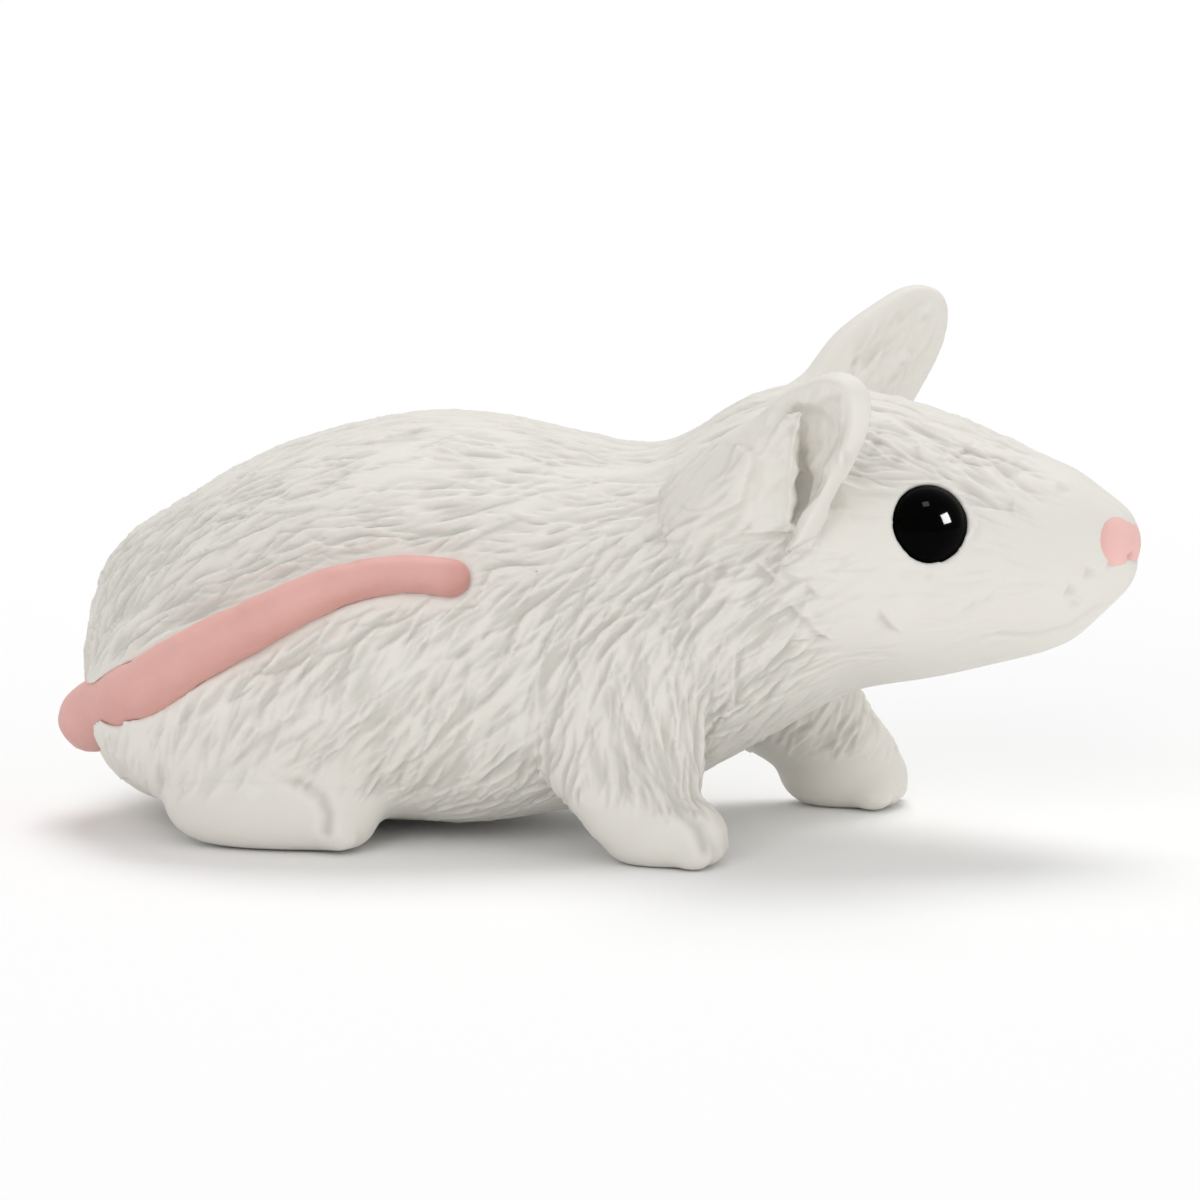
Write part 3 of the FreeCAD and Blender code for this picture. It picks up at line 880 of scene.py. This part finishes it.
def splitSkin(whole, lift):
    skinPoints = pointsOf(whole.data)
    skinNormals = normalsOf(whole.data)
    tree = treeOf(skinPoints)
    # how much painted shade each point gets, from how deep its groove is cut
    grooveShadeAmount = np.clip(-lift / whiteVinyl["grooveFull"], 0, 1) ** whiteVinyl["grooveCurve"]
    for node, piece in cutSkin(whole).items():
        piece.name = names[node]
        thinned(piece, skin["mostTriangles"])
        finish(piece, node, finishes["white_vinyl"])
        keepSkinLook(piece, tree, skinNormals, grooveShadeAmount)
        print(piece.name, len(piece.data.polygons), "faces")
    bpy.data.objects.remove(whole)


splitSkin(whole, lift)


# eyes, nose and tail

bead = {
    "stemRadius": 0.7, "stemLength": 3.4, "stemStep": 0.3, "dome": 0.98, "gaze": (0.30, 1.0, 0.22),
    "rings": 40, "around": 72, "firstAngle": 5, "lastAngle": 165,
}


def makeEye(name, side):
    # turned profile: a slightly flattened ball on a stem, spun about the gaze
    middle, radius = eyeBall(name)
    profile = []
    sweep = bead["lastAngle"] - bead["firstAngle"]
    for k in range(bead["rings"] + 1):
        angle = math.radians(bead["firstAngle"] + sweep * k / bead["rings"])
        profile.append((radius * math.sin(angle), radius * bead["dome"] * math.cos(angle)))
    stemTop = profile[-1][1] - bead["stemStep"]
    profile += [(bead["stemRadius"], stemTop), (bead["stemRadius"], -bead["stemLength"])]
    shape = bmesh.new()
    rows = []
    for reach, height in profile:
        row = []
        for k in range(bead["around"]):
            turn = 2 * math.pi * k / bead["around"]
            row.append(shape.verts.new((reach * math.cos(turn), reach * math.sin(turn), height)))
        rows.append(row)
    for one, two in zip(rows, rows[1:]):
        for k in range(bead["around"]):
            after = (k + 1) % bead["around"]
            shape.faces.new((one[k], two[k], two[after], one[after]))
    for row, height in ((rows[0], radius * bead["dome"]), (rows[-1], -bead["stemLength"])):
        pole = shape.verts.new((0, 0, height))
        for k in range(bead["around"]):
            shape.faces.new((row[k], row[(k + 1) % bead["around"]], pole))
    bmesh.ops.recalc_face_normals(shape, faces=shape.faces)
    mesh = bpy.data.meshes.new(name)
    shape.to_mesh(mesh)
    shape.free()
    forward, outward, upward = bead["gaze"]
    turn = Vector((forward, side * outward, upward)).normalized().to_track_quat("Z", "Y")
    mesh.transform(Matrix.Diagonal((mm, mm, mm, 1)))
    mesh.transform(Matrix.Translation(Vector(middle) * mm) @ turn.to_matrix().to_4x4())
    eye = newObject(("right" if side < 0 else "left") + "Eye", mesh)
    finish(eye, name, finishes["black_gloss"])


makeEye("right_eye", -1)
makeEye("left_eye", 1)

noseTip = {
    "swell": 0.32, "back": 0.28, "voxel": 0.07, "soften": 6,
    "nostril": 0.22, "nostrilDepth": 0.22, "nostrilSide": 0.75, "nostrilBelow": 0.45,
    "nostrilAt": (1.6, 0.9),
    "cleftDepth": 0.05, "cleftWidth": 0.14, "cleftBelow": 0.7,
    # darker round its rear edge, and painted shade in the nostrils
    "darkening": 0.25, "edgeDarker": 0.5, "edgeBack": 1.7, "edgeWidth": 0.5, "holeShade": 3, "holeShadeMost": 0.6,
}


def makeNose():
    piece = remeshed(copyOfNode("nose", noseTip["swell"]), noseTip["voxel"])
    piece.name = "noseTip"
    points = relax(pointsOf(piece.data), edgesOf(piece.data), noseTip["soften"]) - (noseTip["back"], 0, 0)
    low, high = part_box("nose")
    front, middleZ = high.x / mm, (low.z + high.z) / 2 / mm
    normals = normalsOf(piece.data)
    x, y, z = points.T
    push = np.zeros(len(points))
    farther, nearer = noseTip["nostrilAt"]
    for side in (-1, 1):
        gap = np.hypot(y - side * noseTip["nostrilSide"], z - middleZ + noseTip["nostrilBelow"])
        gap = gap / noseTip["nostril"]
        push -= noseTip["nostrilDepth"] * np.exp(-gap * gap) * fade(front - farther, front - nearer, x)
    below = 1 - fade(middleZ - noseTip["cleftBelow"], middleZ, z)
    push -= noseTip["cleftDepth"] * np.exp(-(y / noseTip["cleftWidth"]) ** 2) * below
    movePoints(piece.data, points + normals * push[:, None])
    edge = np.exp(-((x - front + noseTip["edgeBack"]) / noseTip["edgeWidth"]) ** 2)
    darkening = noseTip["darkening"] + noseTip["edgeDarker"] * edge
    # painted shade in the nostrils: darker where they are dented deeper
    darkening = darkening + np.clip(-push * noseTip["holeShade"], 0, noseTip["holeShadeMost"])
    storeFloat(piece.data, "darkening", darkening)
    finish(piece, "nose", finishes["nose_pink"])


makeNose()

tailRod = {
    "swell": 0.05, "voxel": 0.10, "soften": 10, "dentSize": 1.6, "dents": 0.07,
    # painted shade: darker below and towards the front end; darkest at the tip
    "darkening": 0.05, "underShade": 0.45, "under": (0.45, -0.65), "frontShade": 0.22, "frontFrom": 3,
    "tipDarker": 0.45, "tipLength": 1.6,
}


def makeTail():
    piece = largestShell(remeshed(copyOfNode("tail", tailRod["swell"]), tailRod["voxel"]))
    piece.name = "tailRod"
    points = relax(pointsOf(piece.data), edgesOf(piece.data), tailRod["soften"])
    movePoints(piece.data, points)
    normals = normalsOf(piece.data)
    push = unevenness(points, tailRod["dentSize"], tailRod["dents"])
    movePoints(piece.data, points + normals * push[:, None])
    low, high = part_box("tail")
    x, front = points[:, 0], high.x / mm
    # painted shade: the pink darkens towards the front end and on faces turned down
    forward = fade(low.x / mm + tailRod["frontFrom"], front, x)
    under = fade(*tailRod["under"], normals[:, 2])
    tip = fade(front - tailRod["tipLength"], front, x)
    darkening = tailRod["darkening"] + tailRod["underShade"] * under + tailRod["frontShade"] * forward
    storeFloat(piece.data, "darkening", darkening + tailRod["tipDarker"] * tip)
    finish(piece, "tail", finishes["pink_vinyl"])


makeTail()
print("eyes, nose and tail")


# room: floor, light and camera

studio = {
    "floorSize": 6.0, "floorColour": (0.97, 0.97, 0.97),
    "world": (1.0, 1.0, 1.0), "worldStrength": 0.56,
    "lamps": [  # name, azimuth, elevation, distance, size, power
        ("overheadSoftbox", 184, 66, 1.50, 0.90, 10.0),
        ("sideFill", -4, 26, 1.50, 0.80, 4.6),
        ("noseFill", 66, 5, 1.50, 0.80, 4.2),
    ],
    "eyeLamps": [
        ("eyeWindow", 76, 26, 0.50, 0.19, 40.0),
        ("eyeSkylight", 25, 74, 0.50, 0.12, 0.9),
    ],
}
camera = {
    "azimuth": 12, "elevation": 10, "distance": 1.2, "frameWidth": 57.69, "aim": (-0.18, 0.14, 11.13),
    "sensor": 36, "farthest": 20,
}


def wayTo(azimuth, elevation):
    a, e = math.radians(azimuth), math.radians(elevation)
    return Vector((math.sin(a) * math.cos(e), -math.cos(a) * math.cos(e), math.sin(e)))


def turnedTo(aim, place):
    return (aim - place).to_track_quat("-Z", "Y").to_euler()


def makeRoom(scene):
    scene.view_settings.view_transform = "Standard"
    world = bpy.data.worlds.new("paleRoom")
    world.use_nodes = True
    background = world.node_tree.nodes["Background"]
    background.inputs["Color"].default_value = (*studio["world"], 1)
    background.inputs["Strength"].default_value = studio["worldStrength"]
    scene.world = world
    half = studio["floorSize"] / 2
    corners = [(-half, -half, 0), (half, -half, 0), (half, half, 0), (-half, half, 0)]
    mesh = bpy.data.meshes.new("floor")
    mesh.from_pydata(corners, [], [(0, 1, 2, 3)])
    material, _, shader = nodeMaterial("paleFloor")
    shader.inputs["Base Color"].default_value = (*studio["floorColour"], 1)
    shader.inputs["Roughness"].default_value = 0.9
    shader.inputs["Specular IOR Level"].default_value = 0.1
    mesh.materials.append(material)
    newObject("floor", mesh)


def hangLamps(scene, aim):
    # the eyes have lamps of their own, which light nothing else
    eyesOnly = bpy.data.collections.new("eyesOnly")
    allButEyes = bpy.data.collections.new("allButEyes")
    for piece in [piece for piece in scene.objects if piece.type == "MESH"]:
        (eyesOnly if piece.name in ("rightEye", "leftEye") else allButEyes).objects.link(piece)
    for row in studio["lamps"] + studio["eyeLamps"]:
        name, azimuth, elevation, distance, size, power = row
        light = bpy.data.lights.new(name, "AREA")
        light.shape = "SQUARE"
        light.size = size
        light.energy = power
        lamp = newObject(name, light)
        lamp.location = aim + wayTo(azimuth, elevation) * distance
        lamp.rotation_euler = turnedTo(aim, lamp.location)
        lamp.light_linking.receiver_collection = eyesOnly if row in studio["eyeLamps"] else allButEyes


def setCamera(scene, aim):
    lens = bpy.data.cameras.new("studyCamera")
    lens.sensor_width = camera["sensor"]
    lens.lens = camera["sensor"] * camera["distance"] / (camera["frameWidth"] * mm)
    lens.clip_end = camera["farthest"]
    eye = newObject("studyCamera", lens)
    eye.location = aim + wayTo(camera["azimuth"], camera["elevation"]) * camera["distance"]
    eye.rotation_euler = turnedTo(aim, eye.location)
    scene.camera = eye


makeRoom(bpy.context.scene)
hangLamps(bpy.context.scene, Vector(camera["aim"]) * mm)
setCamera(bpy.context.scene, Vector(camera["aim"]) * mm)
